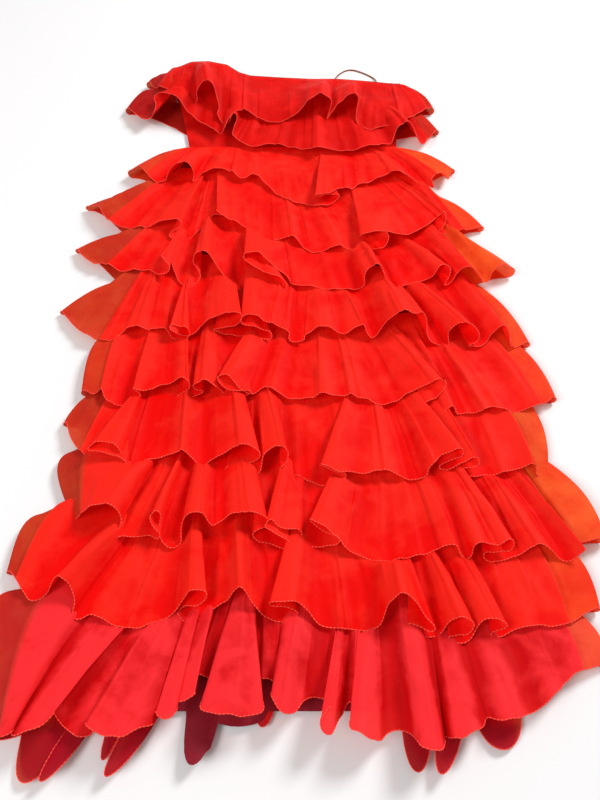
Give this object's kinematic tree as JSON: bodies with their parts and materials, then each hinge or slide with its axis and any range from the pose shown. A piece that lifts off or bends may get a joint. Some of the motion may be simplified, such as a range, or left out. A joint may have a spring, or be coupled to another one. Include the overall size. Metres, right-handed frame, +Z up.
{
  "type": "tiered maxi dress",
  "caption": "Long strapless dress laid flat, with ruffled flounces at the bust, tiers of flounces down the skirt and a thin hanging loop.",
  "frame": {"origin": "middle of the bounding box's underside, on the surface the dress lies on; the hanging loop isn't counted", "axes": "+X across the dress to the right as seen from above, +Y along the dress from the hem to the top edge, +Z up, out of the front"},
  "size_m": [0.7399, 1.3009, 0.0697],
  "materials": {
    "chiffon": "crinkled red silk chiffon",
    "lining": "dark red lining",
    "cord": "brown-red cord"
  },
  "bodies": {
    "root": {"bodice_front": "chiffon", "bodice_back": "chiffon", "skirt_front": "lining", "skirt_back": "lining", "bust_flounce_upper": "chiffon", "bust_flounce_lower": "chiffon", "skirt_flounce_1": "chiffon", "skirt_flounce_2": "chiffon", "skirt_flounce_3": "chiffon", "skirt_flounce_4": "chiffon", "skirt_flounce_5": "chiffon", "skirt_flounce_6": "chiffon", "skirt_flounce_7": "chiffon", "skirt_flounce_8": "chiffon", "skirt_flounce_9": "chiffon", "hanging_loop": "cord"}
  },
  "joints": []
}
